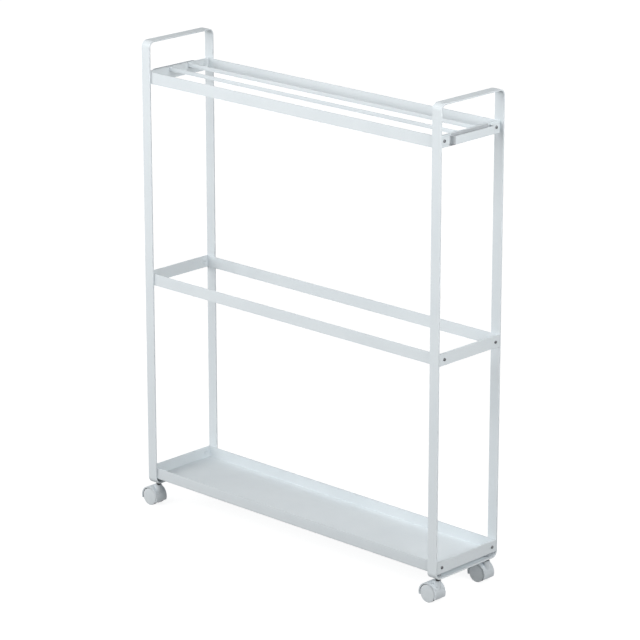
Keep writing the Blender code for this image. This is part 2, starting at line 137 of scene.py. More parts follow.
def pick_faces(piece, test):
    """Opens the piece in edit mode with only the faces selected whose middle and normal pass."""
    start_edit(piece, "FACE")
    bpy.ops.object.mode_set(mode="OBJECT")
    for face in piece.data.polygons:
        face.select = test(face.center, face.normal)
    bpy.ops.object.mode_set(mode="EDIT")


def pick_edges(piece, test):
    """Opens the piece in edit mode with only the edges selected whose two ends pass."""
    start_edit(piece, "EDGE")
    bpy.ops.object.mode_set(mode="OBJECT")
    points = piece.data.vertices
    for edge in piece.data.edges:
        edge.select = test(*(points[end].co for end in edge.vertices))
    bpy.ops.object.mode_set(mode="EDIT")


def done_edit():
    bpy.ops.object.mode_set(mode="OBJECT")


def apply_modifier(piece, kind, **values):
    """Adds a modifier, sets it and applies it."""
    modifier = piece.modifiers.new(kind.title(), kind)
    for key, value in values.items():
        setattr(modifier, key, value)
    select_only(piece)
    bpy.ops.object.modifier_apply(modifier=modifier.name)


def cut(piece, tool, operation="DIFFERENCE"):
    """Cuts the tool out of the piece, joins them or keeps what they share. The tool goes."""
    apply_modifier(piece, "BOOLEAN", operation=operation, solver="EXACT", object=tool)
    bpy.data.meshes.remove(tool.data)


def round_edges(piece, width, segments=3, angle=35):
    """Rounds every sharp edge, and keeps the flat faces flat in the shading."""
    select_only(piece)
    bpy.ops.object.shade_smooth()
    apply_modifier(
        piece,
        "BEVEL",
        width=width,
        segments=segments,
        limit_method="ANGLE",
        angle_limit=math.radians(angle),
        harden_normals=True,
        use_clamp_overlap=True,
    )


def smooth(piece, angle=30):
    select_only(piece)
    bpy.ops.object.shade_smooth_by_angle(angle=math.radians(angle))


pieces_made = []


def set_in_place(piece, finish, slot, body, *nodes):
    """Gives a piece its finish, and ties it to the body it moves with and the CAD it stands for."""
    piece.data.materials.clear()
    piece.data.materials.append(finish)
    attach(piece, body)
    if nodes:
        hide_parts(*nodes)
    pieces_made.append(piece.name)


def paint(piece, finish, chosen):
    """Gives a second finish to the faces that chosen picks."""
    piece.data.materials.append(finish)
    for face in piece.data.polygons:
        if chosen(face):
            face.material_index = len(piece.data.materials) - 1


# %% [markdown]
# ## Finishes
#
# Powder coat is plastic powder baked onto steel. It flows out almost level, and leaves a fine
# orange-peel skin, a slow wave, and small changes of shine where it lies thinner. A noise texture
# at each of those sizes drives the bump and the roughness, so light breaks up as it does on paint.

# %% Node helpers
def new_material(name):
    material = bpy.data.materials.new(name)
    material.use_nodes = True
    nodes = material.node_tree.nodes
    place = nodes.new("ShaderNodeTexCoord").outputs["Object"]
    return material, nodes, material.node_tree.links, nodes["Principled BSDF"], place


def noise(nodes, links, place, size, detail=2.0, stretch=None, rough=0.5):
    """A noise texture whose features are about size metres across."""
    if stretch:
        mapping = nodes.new("ShaderNodeMapping")
        mapping.inputs["Scale"].default_value = stretch
        links.new(place, mapping.inputs["Vector"])
        place = mapping.outputs["Vector"]
    texture = nodes.new("ShaderNodeTexNoise")
    texture.inputs["Scale"].default_value = 1 / size
    texture.inputs["Detail"].default_value = detail
    texture.inputs["Roughness"].default_value = rough
    links.new(place, texture.inputs["Vector"])
    return texture.outputs["Fac"]


def remap(nodes, links, value, low, high, start=0.3, end=0.7):
    """Spreads a value between start and end over low to high."""
    ramp = nodes.new("ShaderNodeMapRange")
    for name, number in (("From Min", start), ("From Max", end), ("To Min", low), ("To Max", high)):
        ramp.inputs[name].default_value = number
    links.new(value, ramp.inputs["Value"])
    return ramp.outputs["Result"]


def tint(nodes, links, value, first, second):
    """Two colours mixed by a value."""
    mix = nodes.new("ShaderNodeMix")
    mix.data_type = "RGBA"
    links.new(value, mix.inputs["Factor"])
    mix.inputs["A"].default_value = (*first, 1)
    mix.inputs["B"].default_value = (*second, 1)
    return mix.outputs["Result"]


def bump(nodes, links, shader, heights):
    """Bumps on top of each other, each a height value with its depth in metres."""
    below = None
    for height, depth in heights:
        node = nodes.new("ShaderNodeBump")
        node.inputs["Distance"].default_value = depth
        node.inputs["Strength"].default_value = 1
        links.new(height, node.inputs["Height"])
        if below:
            links.new(below, node.inputs["Normal"])
        below = node.outputs["Normal"]
    links.new(below, shader.inputs["Normal"])


# %% Powder coat on the steel
COAT_PALE = (0.740, 0.790, 0.815)
COAT_DEEP = (0.706, 0.758, 0.787)
SPECK_GREY = (0.62, 0.68, 0.71, 1)
DRIFT_SIZE = 90 * MM
RUB_SIZE = 30 * MM
SHINE_SIZE = 22 * MM
WAVE_SIZE, WAVE_DEPTH = 14 * MM, 0.05 * MM
SPECK_SIZE = 1.6 * MM
PEEL_SIZE, PEEL_DEPTH = 1.1 * MM, 0.012 * MM


def powder_coat(name, tone=1.0, scuffed=False):
    material, nodes, links, shader, place = new_material(name)
    drift = remap(nodes, links, noise(nodes, links, place, DRIFT_SIZE, 3), 0, 1)
    pale, deep = ([tone * v for v in colour] for colour in (COAT_PALE, COAT_DEEP))
    colour = tint(nodes, links, drift, pale, deep)
    speck = remap(nodes, links, noise(nodes, links, place, SPECK_SIZE, 1), 0, 0.35, 0.62, 0.80)
    mix = nodes.new("ShaderNodeMix")
    mix.data_type = "RGBA"
    links.new(speck, mix.inputs["Factor"])
    links.new(colour, mix.inputs["A"])
    mix.inputs["B"].default_value = SPECK_GREY
    links.new(mix.outputs["Result"], shader.inputs["Base Color"])
    peel = noise(nodes, links, place, PEEL_SIZE, 2)
    wave = noise(nodes, links, place, WAVE_SIZE, 1)
    shine = remap(nodes, links, noise(nodes, links, place, SHINE_SIZE, 4), 0.46, 0.60)
    if scuffed:
        rub = noise(nodes, links, place, RUB_SIZE, 5, stretch=(0.35, 6, 1), rough=0.65)
        rubbed = remap(nodes, links, rub, 0, 0.12, 0.48, 0.72)
        total = nodes.new("ShaderNodeMath")
        total.operation = "ADD"
        links.new(shine, total.inputs[0])
        links.new(rubbed, total.inputs[1])
        shine = total.outputs[0]
    links.new(shine, shader.inputs["Roughness"])
    shader.inputs["IOR"].default_value = 1.5
    shader.inputs["Specular IOR Level"].default_value = 0.3
    bump(nodes, links, shader, [(wave, WAVE_DEPTH), (peel, PEEL_DEPTH)])
    return material


coat = powder_coat("cool_white_powder_coat")
tray_coat = powder_coat("tray_powder_coat", tone=0.97, scuffed=True)
print("coats:", coat.name, tray_coat.name)

# %% [markdown]
# The casters are moulded nylon: milky, a little see-through, with a fine eroded-mould grain. A
# trace of light under the skin softens their edges. The tread is the same nylon in a dark grey,
# partly scuffed by the floor and partly painted shade.

# %% Moulded nylon
CLOUD_SIZE = 12 * MM
GLOSS_SIZE = 4 * MM
GRAIN_DEPTH = 0.010 * MM
LIGHT_REACH = 1.2 * MM
MATT = (0.6, 0.8)


def nylon(name, colour, deep, grain=0.7 * MM, shine=(0.40, 0.55)):
    material, nodes, links, shader, place = new_material(name)
    cloud = remap(nodes, links, noise(nodes, links, place, CLOUD_SIZE, 3), 0, 1)
    links.new(tint(nodes, links, cloud, colour, deep), shader.inputs["Base Color"])
    roughness = remap(nodes, links, noise(nodes, links, place, GLOSS_SIZE, 4), *shine)
    links.new(roughness, shader.inputs["Roughness"])
    shader.inputs["IOR"].default_value = 1.53
    shader.inputs["Subsurface Weight"].default_value = 0.08
    shader.inputs["Subsurface Radius"].default_value = (1, 1, 1)
    shader.inputs["Subsurface Scale"].default_value = LIGHT_REACH
    bump(nodes, links, shader, [(noise(nodes, links, place, grain, 2), GRAIN_DEPTH)])
    return material


hood_nylon = nylon("hood_nylon", (0.660, 0.705, 0.735), (0.620, 0.668, 0.700))
wheel_nylon = nylon("wheel_nylon", (0.690, 0.735, 0.760), (0.650, 0.697, 0.725))
# The tread's dark grey is partly floor scuff and partly painted shade.
tread_nylon = nylon(
    "scuffed_and_shaded_tread_nylon", (0.300, 0.318, 0.328), (0.220, 0.232, 0.240), 1.5 * MM, MATT
)
print("nylons:", hood_nylon.name, wheel_nylon.name, tread_nylon.name)

# %% [markdown]
# The space behind each grip is painted a plain mid grey, as painted shade. It could be left to
# the shade, but the gap is too open to go dark by itself. The nylon's nodes make it, with a
# coarser grain and less shine.

# %% Painted shade behind the grips
grip_gap_painted_shade = nylon("painted_shade_behind_grip", (0.52, 0.55, 0.575), (0.46, 0.487, 0.51), 1.2 * MM, MATT)
print("lining:", grip_gap_painted_shade.name)

# %% [markdown]
# Small metal parts each have their own skin. Zinc plating is mottled and half bright. The stem is
# dark oiled steel with turning rings, and the screws are blackened steel rubbed on the edges.

# %% Small metal parts
SCRATCH_SIZE, SCRATCH_DEPTH = 0.25 * MM, 0.006 * MM


def plated(name, colour, deep, shine, size=2.5 * MM, rings=None):
    material, nodes, links, shader, place = new_material(name)
    patch = remap(nodes, links, noise(nodes, links, place, size, 5, rough=0.6), 0, 1, 0.35, 0.65)
    links.new(tint(nodes, links, patch, colour, deep), shader.inputs["Base Color"])
    links.new(remap(nodes, links, patch, *shine, 0, 1), shader.inputs["Roughness"])
    shader.inputs["Metallic"].default_value = 1
    fine = noise(nodes, links, place, SCRATCH_SIZE, 2, stretch=rings)
    bump(nodes, links, shader, [(fine, SCRATCH_DEPTH)])
    return material


zinc = plated("bright_zinc", (0.64, 0.66, 0.68), (0.50, 0.52, 0.54), (0.28, 0.45))
dark_steel = plated(
    "oiled_stem_steel", (0.17, 0.17, 0.175), (0.11, 0.11, 0.115), (0.35, 0.55), rings=(0.3, 0.3, 6)
)
screw_steel = plated(
    "blackened_screw_steel", (0.32, 0.33, 0.345), (0.22, 0.23, 0.24), (0.34, 0.50), 1.2 * MM
)
print("metals:", zinc.name, dark_steel.name, screw_steel.name)

# %% [markdown]
# ## End frames
#
# Each end frame is one flat steel bar bent round into a closed loop and welded. It could be swept
# along a path, but a box gives the same loop sooner: bevel its four long edges to the bend radius,
# take off the two end faces so that only the band is left, and give the band its thickness.

# %% Bent end frames
BAR_THICK = 2.5 * MM
BEND_RADIUS = 11 * MM
STEM_HOLE = 3.3 * MM
STEM_DRILL_LENGTH = 8 * MM
BAR_EDGE = 0.45 * MM


def bent_frame(end):
    low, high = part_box(f"{end}_end_frame")
    piece = block(f"{end}_bent_bar", low, high)
    pick_edges(piece, lambda a, b: abs(a.x - b.x) > MM)
    bpy.ops.mesh.bevel(offset=BEND_RADIUS, segments=16, affect="EDGES")
    done_edit()
    pick_faces(piece, lambda centre, normal: abs(normal.x) > 0.9)
    bpy.ops.mesh.delete(type="FACE")
    done_edit()
    apply_modifier(piece, "SOLIDIFY", thickness=BAR_THICK, offset=-1, use_even_offset=True)
    for side in SIDES:
        stem_low, stem_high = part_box(f"{end}_{side}_caster_stem")
        place = (stem_low + stem_high) / 2
        place.z = low.z
        cut(piece, rod("stem_drill", place, STEM_HOLE, STEM_DRILL_LENGTH))
    round_edges(piece, BAR_EDGE)
    set_in_place(piece, coat, "powder_coat", "cart_frame", f"{end}_end_frame")
    return piece


for end in ENDS:
    bar = bent_frame(end)
    print(bar.name, len(bar.data.polygons), "faces")

# %% [markdown]
# ## Plates, rails and slats
#
# The rest of the steel is straight strip, sheared to length and tumbled so that its edges are just
# broken. A box at the strip's size is the start. The screw holes are drilled before the edges are
# rounded, so that the rims of the holes are rounded with them.

# %% Cross plates between the uprights
TIERS = ("top", "middle", "bottom")
SCREW_HOLE = 2.2 * MM
SCREW_DRILL_LENGTH = 40 * MM
STRIP_EDGE = 0.35 * MM
SLAT_EDGE = 0.5 * MM
SHEET_EDGE = 0.3 * MM


def screw_places(end, tier):
    for side in SIDES:
        low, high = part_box(f"{tier}_{end}_{side}_screw")
        yield (low + high) / 2


def drill_for_screws(piece, end, tier):
    for place in screw_places(end, tier):
        cut(piece, rod("screw_drill", place, SCREW_HOLE, SCREW_DRILL_LENGTH, "X", 32))


for end in ENDS:
    for tier in TIERS:
        node = f"{end}_{tier}_plate"
        plate = block(f"{end}_{tier}_cross_plate", *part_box(node))
        drill_for_screws(plate, end, tier)
        round_edges(plate, STRIP_EDGE)
        set_in_place(plate, coat, "powder_coat", "cart_frame", node)
print("cross plates:", 2 * len(TIERS))

# %% Long rails and slats
for tier in ("top", "middle"):
    for side in SIDES:
        node = f"{tier}_{side}_rail"
        rail = block(f"{tier}_{side}_long_rail", *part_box(node))
        round_edges(rail, STRIP_EDGE)
        set_in_place(rail, coat, "powder_coat", "cart_frame", node)
for side in SIDES:
    node = f"top_{side}_slat"
    slat = block(f"{side}_shelf_slat", *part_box(node))
    round_edges(slat, SLAT_EDGE)
    set_in_place(slat, coat, "powder_coat", "cart_frame", node)
print("long rails and slats:", 3 * len(SIDES))

# %% [markdown]
# An end wall closes each open tier. Behind every screw a nut is pressed into it and stands out
# inside as a low round boss. The boss is joined to the wall, and the screw hole goes through both.

# %% End walls with thread bosses
BOSS_RADIUS = 4 * MM
BOSS_LENGTH = 1.2 * MM
BOSS_OVERLAP = MM


def add_bosses(piece, end, tier, inner_x):
    """Round bosses from just inside the wall to the inner face at inner_x."""
    for place in screw_places(end, tier):
        length = BOSS_LENGTH + BOSS_OVERLAP
        place.x = inner_x + ENDS[end] * length / 2
        cut(piece, rod("boss", place, BOSS_RADIUS, length, "X"), "UNION")


for end, outward in ENDS.items():
    for tier in ("top", "middle"):
        node = f"{tier}_{end}_end_wall"
        low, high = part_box(node)
        inner_x = high.x if outward < 0 else low.x
        if outward < 0:
            high.x -= BOSS_LENGTH
        else:
            low.x += BOSS_LENGTH
        wall = block(f"{tier}_{end}_wall", low, high)
        add_bosses(wall, end, tier, inner_x)
        drill_for_screws(wall, end, tier)
        round_edges(wall, SHEET_EDGE, 2)
        set_in_place(wall, coat, "powder_coat", "cart_frame", node)
print("end walls:", 2 * len(ENDS))

# %% [markdown]
# ## Tray
#
# The tray is one sheet folded up on four sides. Folding leaves a small radius along each bend,
# which catches a line of shade. So the box's bottom and corner edges are bevelled before the lid
# comes off and the sheet gets its thickness inwards. The folding tool leaves a shallow crease on
# the floor beside each bend. It could be painted on, but four thin blocks cut it as a real groove.

# %% Folded tray
SHEET = 1.2 * MM
FOLD_RADIUS = 2.2 * MM
CREASE_AWAY = 1.1 * MM
CREASE_WIDTH = 0.9 * MM
CREASE_DEPTH = 0.6 * MM


def folded_tray():
    low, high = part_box("tray")
    piece = block("folded_tray", low, high)
    below_top = high.z - MM
    pick_faces(piece, lambda centre, normal: normal.z > 0.9)
    bpy.ops.mesh.delete(type="ONLY_FACE")
    done_edit()
    pick_edges(piece, lambda a, b: min(a.z, b.z) < below_top)
    bpy.ops.mesh.bevel(offset=FOLD_RADIUS, segments=6, affect="EDGES")
    done_edit()
    apply_modifier(piece, "SOLIDIFY", thickness=SHEET, offset=-1, use_even_offset=True)
    inside = Vector((SHEET + CREASE_AWAY, SHEET + CREASE_AWAY, 0))
    first, last = low + inside, high - inside
    bottom, top = low.z + SHEET - CREASE_DEPTH, low.z + SHEET + CREASE_DEPTH
    for y in (first.y, last.y - CREASE_WIDTH):
        cut(piece, block("crease", (first.x, y, bottom), (last.x, y + CREASE_WIDTH, top)))
    for x in (first.x, last.x - CREASE_WIDTH):
        cut(piece, block("crease", (x, first.y, bottom), (x + CREASE_WIDTH, last.y, top)))
    for end, outward in ENDS.items():
        edge = low.x if outward < 0 else high.x
        add_bosses(piece, end, "bottom", edge - outward * (SHEET + BOSS_LENGTH))
        drill_for_screws(piece, end, "bottom")
    round_edges(piece, SHEET_EDGE, 2, angle=50)
    return piece


tray = folded_tray()
tray_nodes = ("tray", "bottom_left_end_wall", "bottom_right_end_wall")
set_in_place(tray, tray_coat, "powder_coat", "cart_frame", *tray_nodes)
print("tray faces:", len(tray.data.polygons))

# %% [markdown]
# ## Strap handles
#
# A handle is a strap with four bends: out from the foot, along as the grip, and back to the other
# foot. Its line is drawn point by point, the corners are rounded by a vertex bevel, the line is
# extruded to the strap's height, and a Solidify modifier makes the metal. A thin sheet is joined to
# it on the wall behind the grip, and the sheet, the back of the grip and the legs are painted a mid
# grey as painted shade for the gap.

# %% Draw a line point by point
def drawn_line(name, points):
    """A line through points: one vertex, extruded from each point to the next."""
    clear_selection()
    bpy.ops.mesh.primitive_plane_add(size=MM, location=points[0])
    piece = named(name)
    bpy.ops.object.mode_set(mode="EDIT")
    bpy.ops.mesh.select_mode(type="VERT")
    bpy.ops.mesh.select_all(action="SELECT")
    bpy.ops.mesh.merge(type="CENTER")
    for here, there in zip(points, points[1:]):
        bpy.ops.mesh.extrude_region_move(
            TRANSFORM_OT_translate={"value": Vector(there) - Vector(here)}
        )
    bpy.ops.mesh.select_all(action="SELECT")
    return piece


# %% Bent straps
STRAP_THICK = 1.6 * MM
STRAP_BEND = 3 * MM
STRAP_EDGE = 0.4 * MM
GRIP_HALF = 48 * MM
FOOT_HALF = 68.5 * MM
SHADE_SHEET_THICK = 0.35 * MM
SHADE_SHEET_HALF = 44 * MM
SHADE_SHEET_MARGIN = 0.2 * MM
LEG_REACH = 4 * MM
TOUCH = 0.01 * MM


def strap_handle(end, outward):
    low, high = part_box(f"{end}_handle")
    wall, grip = (high.x, low.x) if outward < 0 else (low.x, high.x)
    foot = wall + outward * STRAP_THICK / 2
    out = grip - outward * STRAP_THICK / 2
    leg = GRIP_HALF - STRAP_THICK / 2
    points = [
        (foot, -FOOT_HALF, low.z),
        (foot, -leg, low.z),
        (out, -leg, low.z),
        (out, leg, low.z),
        (foot, leg, low.z),
        (foot, FOOT_HALF, low.z),
    ]
    piece = drawn_line(f"{end}_strap_handle", points)
    done_edit()
    start_edit(piece, "VERT")
    bpy.ops.object.mode_set(mode="OBJECT")
    for vertex in piece.data.vertices:
        vertex.select = abs(vertex.co.y) < FOOT_HALF - MM
    bpy.ops.object.mode_set(mode="EDIT")
    bpy.ops.mesh.bevel(offset=STRAP_BEND, segments=8, affect="VERTICES")
    bpy.ops.mesh.select_all(action="SELECT")
    bpy.ops.mesh.extrude_region_move(
        TRANSFORM_OT_translate={"value": (0, 0, high.z - low.z)}
    )
    bpy.ops.mesh.select_all(action="SELECT")
    bpy.ops.mesh.normals_make_consistent(inside=False)
    done_edit()
    apply_modifier(piece, "SOLIDIFY", thickness=STRAP_THICK, offset=0, use_even_offset=True)
    drill_for_screws(piece, end, "top")
    round_edges(piece, STRAP_EDGE, 3, angle=40)
    # A thin sheet on the wall behind the grip carries the painted shade of the gap.
    plate_low, plate_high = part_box(f"top_{end}_end_wall")
    shade_sheet = block(
        "shade_sheet",
        (min(wall, wall + outward * SHADE_SHEET_THICK), -SHADE_SHEET_HALF, plate_low.z + SHADE_SHEET_MARGIN),
        (max(wall, wall + outward * SHADE_SHEET_THICK), SHADE_SHEET_HALF, plate_high.z - SHADE_SHEET_MARGIN),
    )
    select_only(piece)
    shade_sheet.select_set(True)
    bpy.ops.object.join()
    return piece


def gets_painted_shade(face, wall, outward):
    """Painted shade: the thin sheet on the wall, the back of the grip and the two legs with their
    bends.
    """
    across = abs(face.center.y)
    off_plate = outward * (face.center.x - wall)
    on_shade_sheet = off_plate < SHADE_SHEET_THICK + TOUCH and across < SHADE_SHEET_HALF + TOUCH
    behind_grip = across < GRIP_HALF and outward * face.normal.x < -0.9 and off_plate > STRAP_BEND
    on_leg = abs(face.normal.y) > 0.3 and abs(across - GRIP_HALF) < LEG_REACH
    return on_shade_sheet or behind_grip or on_leg


for end, outward in ENDS.items():
    handle = strap_handle(end, outward)
    set_in_place(handle, coat, "powder_coat", "cart_frame", f"{end}_handle")
    low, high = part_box(f"{end}_handle")
    wall = high.x if outward < 0 else low.x
    # The sheet, the back of the grip and the legs get painted shade in mid grey.
    paint(handle, grip_gap_painted_shade, lambda face: gets_painted_shade(face, wall, outward))
    print(handle.name, [round(1000 * v, 1) for v in handle.dimensions])

# %% [markdown]
# ## Turned parts
#
# Screws, stems, axles and wheels are all round about one axis. Half of the section is drawn as a
# line from the axis out and back, and spun right round it. The spin leaves a double seam, so close
# points are merged, and the faces are turned to look outwards.

# %% Turn a section round an axis
def spun(name, points, centre, axis, steps=48):
    """points are (distance from the axis, distance along it); axis is a unit vector."""
    along = Vector(axis)
    across = Vector((0, 0, 1)) if abs(along.z) < 0.5 else Vector((1, 0, 0))
    line = [Vector(centre) + across * r + along * h for r, h in points]
    piece = drawn_line(name, line)
    bpy.ops.mesh.spin(
        steps=steps, angle=2 * math.pi, center=centre, axis=along, use_auto_merge=True
    )
    bpy.ops.mesh.select_all(action="SELECT")
    bpy.ops.mesh.remove_doubles(threshold=TOUCH)
    bpy.ops.mesh.normals_make_consistent(inside=False)
    done_edit()
    return piece


def thread(radius, start, end, pitch, depth):
    """Section points of a thread from start to end: a ridge and a groove at each pitch."""
    turns = max(1, int(abs(end - start) / pitch))
    step = (end - start) / turns
    points = []
    for turn in range(turns):
        at = start + turn * step
        points += [(radius, at + 0.15 * step), (radius, at + 0.35 * step)]
        points += [(radius - depth, at + 0.65 * step), (radius - depth, at + 0.85 * step)]
    return points


def copy_of(piece, name, shift, turn=None):
    """A copy with its own mesh, turned about the origin and then shifted, all in its mesh."""
    select_only(piece)
    bpy.ops.object.duplicate(linked=False)
    twin = bpy.context.object
    twin.name = twin.data.name = name
    if turn:
        twin.data.transform(turn)
    twin.data.transform(Matrix.Translation(shift))
    return twin


# %% [markdown]
# A pan-head screw has a low domed head and a cross recess. The head and the threaded shank are one
# spun section, and two thin blocks cut the cross. One screw is made for each length and
# copied to its four holes, with the left end's copies turned to look the other way. The tips
# inside the walls take the coat's colour, so that they don't stand out as dark dots.

# %% Screws
HEAD_HEIGHT = 1.8 * MM
SHANK_RADIUS = 2 * MM
THREAD_PITCH = 0.7 * MM
THREAD_DEPTH = 0.3 * MM
CROSS_LONG, CROSS_NARROW, CROSS_DEEP = 2.9, 0.75, 1.1  # in millimetres
PAINTED_TIP = 1.2 * MM


def pan_screw(name, head_radius, length):
    """A screw along +X at the origin, with its head's underside at x = 0."""
    dome = [(0, HEAD_HEIGHT)] + [
        (head_radius * math.sin(a), HEAD_HEIGHT * (0.35 + 0.65 * math.cos(a)))
        for a in (math.radians(d) for d in (15, 30, 45, 60, 75, 90))
    ]
    shank = [(head_radius, 0.15 * MM), (head_radius - 0.2 * MM, 0), (SHANK_RADIUS, 0)]
    shank += thread(SHANK_RADIUS, -0.8 * MM, 0.6 * MM - length, THREAD_PITCH, THREAD_DEPTH)
    shank += [(SHANK_RADIUS - 0.5 * MM, -length), (0, -length)]
    piece = spun(name, dome + shank, (0, 0, 0), (1, 0, 0), 36)
    for wide, tall in ((CROSS_LONG, CROSS_NARROW), (CROSS_NARROW, CROSS_LONG)):
        half = Vector((CROSS_DEEP, wide / 2, tall / 2)) * MM
        middle = Vector((HEAD_HEIGHT, 0, 0))
        cut(piece, block("cross_cut", middle - half, middle + half))
    smooth(piece, 35)
    return piece


for tier in TIERS:
    low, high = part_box(f"{tier}_right_front_screw")
    master = pan_screw(f"{tier}_screw_master", (high.z - low.z) / 2, high.x - low.x - HEAD_HEIGHT)
    for end, outward in ENDS.items():
        for side in SIDES:
            node = f"{tier}_{end}_{side}_screw"
            low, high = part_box(node)
            place = (low + high) / 2
            place.x = high.x - HEAD_HEIGHT if outward > 0 else low.x + HEAD_HEIGHT
            turn = Matrix.Rotation(math.pi, 4, "Z") if outward < 0 else None
            screw = copy_of(master, f"{tier}_{end}_{side}_pan_screw", place, turn)
            set_in_place(screw, screw_steel, "screw_steel", "cart_frame", node)
            tip = min(outward * low.x, outward * high.x) + PAINTED_TIP
            paint(screw, coat, lambda face: outward * face.center.x < tip)
    bpy.data.meshes.remove(master.data)
print("screws:", 4 * len(TIERS))

# %% [markdown]
# ## Casters
#
# A caster hangs on a steel stem that is screwed up through the frame's bottom run. The stem has a
# collar that takes the load, a thread for the nut above, and a plain end that the housing turns
# on, with a groove for its ring. The nut is a six-sided rod, and what it shares with a chamfered
# disc is kept, which breaks its corners as on a real nut.

# %% Stems and nuts
CORNERS = [(end, side) for end in ENDS for side in SIDES]
STEM_RADIUS = 3 * MM
STEM_TAPER = 0.6 * MM
STEM_PITCH, STEM_THREAD_DEPTH = 0.9 * MM, 0.35 * MM
COLLAR_TOP, COLLAR_BOTTOM, COLLAR_EDGE = 0.3 * MM, 3.6 * MM, 0.3 * MM
RING_GROOVE = (33 * MM, 32 * MM)
NUT_CHAMFER, NUT_BORE, NUT_SPARE = 0.45 * MM, 3.2 * MM, 0.02 * MM


def middle_of(node):
    low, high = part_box(node)
    return (low + high) / 2


def caster_stem(corner, axis_place):
    low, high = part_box(f"{corner}_caster_stem")
    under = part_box(f"{corner.split('_')[0]}_end_frame")[0].z
    collar = (high.x - low.x) / 2
    r, neck = STEM_RADIUS, STEM_RADIUS - STEM_TAPER
    bottom, top = low.z, high.z
    groove_top, groove_bottom = RING_GROOVE
    points = [(0, top), (neck, top)]
    points += thread(r, top - 0.3 * MM, under + BAR_THICK, STEM_PITCH, STEM_THREAD_DEPTH)
    points += [
        (r, under + 0.5 * MM),
        (r, under - COLLAR_TOP),
        (collar - COLLAR_EDGE, under - COLLAR_TOP),
        (collar, under - COLLAR_TOP - COLLAR_EDGE),
        (collar, under - COLLAR_BOTTOM + COLLAR_EDGE),
        (collar - COLLAR_EDGE, under - COLLAR_BOTTOM),
        (r, under - COLLAR_BOTTOM),
        (r, groove_top),
        (neck, groove_top),
        (neck, groove_bottom),
        (r, groove_bottom),
        (r, bottom + 0.4 * MM),
        (r - 0.4 * MM, bottom),
        (0, bottom),
    ]
    piece = spun(f"{corner}_stem", points, (axis_place.x, axis_place.y, 0), (0, 0, 1))
    smooth(piece, 35)
    return piece


def hexagon_nut(corner, axis_place):
    low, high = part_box(f"{corner}_stem_nut")
    corner_radius = (high.x - low.x) / 2
    flats = corner_radius * math.cos(math.pi / 6)
    place = Vector((axis_place.x, axis_place.y, (low.z + high.z) / 2))
    height = high.z - low.z
    piece = rod(f"{corner}_hexagon_nut", place, corner_radius, height, sides=6)
    rim, shoulder = corner_radius + NUT_SPARE, height / 2 - NUT_CHAMFER
    outline = [(0, height / 2), (flats, height / 2), (rim, shoulder)]
    outline += [(radius, -along) for radius, along in reversed(outline)]
    cut(piece, spun("nut_chamfer", outline, place, (0, 0, 1)), "INTERSECT")
    cut(piece, rod("nut_thread", place, NUT_BORE, 3 * height, sides=36))
    smooth(piece, 20)
    return piece


for end, side in CORNERS:
    corner = f"{end}_{side}"
    axis_place = middle_of(f"{corner}_caster_stem")
    stem = caster_stem(corner, axis_place)
    set_in_place(stem, dark_steel, "stem_steel", "cart_frame", f"{corner}_caster_stem")
    nut = hexagon_nut(corner, axis_place)
    set_in_place(nut, zinc, "zinc_plate", "cart_frame", f"{corner}_stem_nut")
print("stems and nuts:", 2 * len(CORNERS))

# %% [markdown]
# The housing is a curved hood over both wheels, with a web between them that carries the axle and
# a neck that turns on the stem. A thin shell would be quick, but its walls and the web would have
# to be joined face to face. So the whole side outline is extruded solid, a gusset and the neck are
# joined to it, and the wells for the two wheels and the bores for stem and axle are cut out at the
# end.

# %% Caster housings
AXLE_HEIGHT = 15 * MM
HOOD_RADIUS = 18.38 * MM
HOOD_WALL = 2.38 * MM
HOOD_HALF = 12.3 * MM
HOOD_START, HOOD_END = math.radians(-22), math.radians(195)
WEB_HALF = 2.5 * MM
NECK_RADIUS = 5.5 * MM
NECK_TOP = 37.5 * MM
TRAIL = 12 * MM
GUSSET_HALF = 3.5 * MM
GUSSET_TOP = 36.9 * MM
NECK_LOW = 24 * MM
STEM_BORE, AXLE_BORE = 3.3 * MM, 2.3 * MM
MOULD_EDGE = 0.3 * MM


def arc_points(radius, start, end, steps, y):
    """Points round the axle, for a caster whose stem is at the origin."""
    angles = [start + (end - start) * n / steps for n in range(steps + 1)]
    return [
        Vector((radius * math.cos(a) - TRAIL, y, AXLE_HEIGHT + radius * math.sin(a)))
        for a in angles
    ]


def extruded_outline(name, points, width):
    """A closed outline in the XZ plane, filled and extruded along +Y."""
    piece = drawn_line(name, points)
    bpy.ops.mesh.edge_face_add()
    bpy.ops.mesh.extrude_region_move(TRANSFORM_OT_translate={"value": (0, width, 0)})
    bpy.ops.mesh.select_all(action="SELECT")
    bpy.ops.mesh.normals_make_consistent(inside=False)
    done_edit()
    return piece


